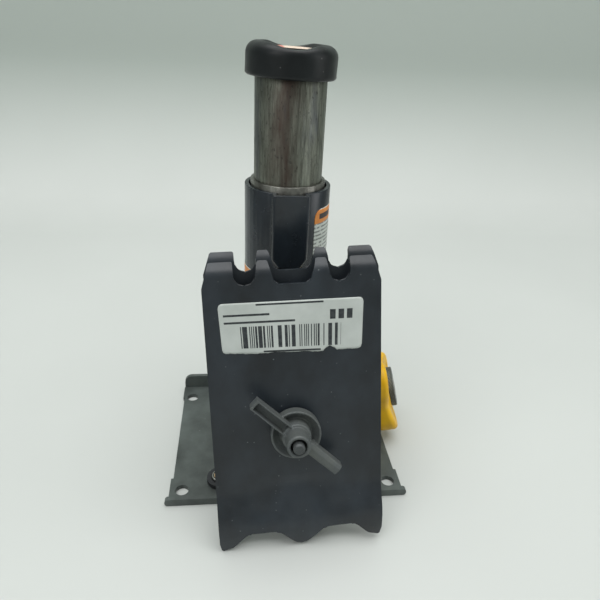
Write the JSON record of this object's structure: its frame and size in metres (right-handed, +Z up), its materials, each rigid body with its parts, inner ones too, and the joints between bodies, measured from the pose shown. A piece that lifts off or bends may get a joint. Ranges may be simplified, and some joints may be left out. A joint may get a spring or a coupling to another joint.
{
  "type": "telescoping screw jack",
  "caption": "Telescoping screw jack on a flat steel base with an inclined hand drive, and two nested wheel blocks held on its front by a wing nut.",
  "frame": {"origin": "on the column's axis, at the underside of the base plate", "axes": "+Z up along the screw, -Y towards the wheel blocks, +X towards the hand knob"},
  "size_m": [0.158, 0.1584, 0.2557],
  "materials": {
    "base_paint": "worn satin grey-green paint",
    "column_paint": "gloss blue-black paint",
    "case_paint": "satin dark paint on a casting",
    "block_paint": "satin dark blue-grey paint",
    "bare_steel": "drawn bare steel with heat tints",
    "bright_steel": "bright turned steel",
    "zinc_steel": "dull zinc plate",
    "black_steel": "satin black",
    "bronze": "sintered bronze",
    "yellow_plastic": "yellow moulded",
    "sticker": "printed vinyl"
  },
  "bodies": {
    "base": {"base_plate": "base_paint", "gear_case": "case_paint", "case_screws": "zinc_steel", "outer_tube": "column_paint", "guide_bush": "bright_steel", "lower_race": "bright_steel", "inner_bush": "bronze", "outer_bush": "bronze", "block_bracket": "case_paint", "bracket_rivets": "bronze", "block_stud": "zinc_steel", "right_label": "sticker", "left_label": "sticker"},
    "cage": {"ball_cage": "bronze", "thrust_balls": "bright_steel"},
    "screw": {"lead_screw": "bright_steel", "bevel_gear": "zinc_steel", "upper_race": "bright_steel"},
    "drive": {"drive_shaft": "bright_steel", "pinion": "zinc_steel", "pinion_pin": "bright_steel", "retaining_ring": "black_steel", "drive_knob": "yellow_plastic", "knob_pin": "bright_steel", "drive_collar": "zinc_steel"},
    "ram": {"ram_tube": "bare_steel", "ram_nut": "bronze", "ram_plug": "zinc_steel", "saddle_rivet": "zinc_steel"},
    "saddle": {"saddle": "black_steel"},
    "rear_block": {"rear_block": "block_paint"},
    "front_block": {"front_block": "block_paint", "stock_label": "sticker"},
    "washer": {"flat_washer": "zinc_steel"},
    "nut": {"wing_nut": "zinc_steel"}
  },
  "joints": [
    {"name": "drive_spin", "type": "hinge", "parent": "base", "child": "drive", "pos_m": [0, 0, 0.016], "axis": [-0.9467, 0.1669, -0.2756], "range_deg": [-9721, 7201]},
    {"name": "screw_spin", "type": "hinge", "parent": "base", "child": "screw", "pos_m": [0, 0, 0], "axis": [0, 0, 1], "range_deg": [-4861, 3601]},
    {"name": "cage_spin", "type": "hinge", "parent": "base", "child": "cage", "pos_m": [0, 0, 0], "axis": [0, 0, 1], "range_deg": [-2431, 1801]},
    {"name": "ram_slide", "type": "slide", "parent": "base", "child": "ram", "axis": [0, 0, 1], "range_m": [-0.054, 0.04]},
    {"name": "saddle_turn", "type": "hinge", "parent": "ram", "child": "saddle", "pos_m": [0, 0, 0.248], "axis": [0, 0, 1], "continuous": true},
    {"name": "rear_block_slide", "type": "slide", "parent": "base", "child": "rear_block", "axis": [0, -0.9688, 0.2477], "range_m": [0, 0.04]},
    {"name": "front_block_slide", "type": "slide", "parent": "rear_block", "child": "front_block", "axis": [0, -0.9688, 0.2477], "range_m": [0, 0.032]},
    {"name": "washer_slide", "type": "slide", "parent": "front_block", "child": "washer", "axis": [0, -0.9688, 0.2477], "range_m": [0, 0.0281]},
    {"name": "wing_nut_spin", "type": "hinge", "parent": "washer", "child": "nut", "pos_m": [0, -0.09132, 0.07074], "axis": [0, -0.9688, 0.2477], "range_deg": [0, 10080]}
  ],
  "couplings": [
    {"joint": "drive_spin", "follows": "ram_slide", "rad_per_m": 3141.6},
    {"joint": "screw_spin", "follows": "ram_slide", "rad_per_m": 1570.8},
    {"joint": "cage_spin", "follows": "ram_slide", "rad_per_m": 785.4},
    {"joint": "washer_slide", "follows": "wing_nut_spin", "m_per_rad": 0.00015915}
  ]
}
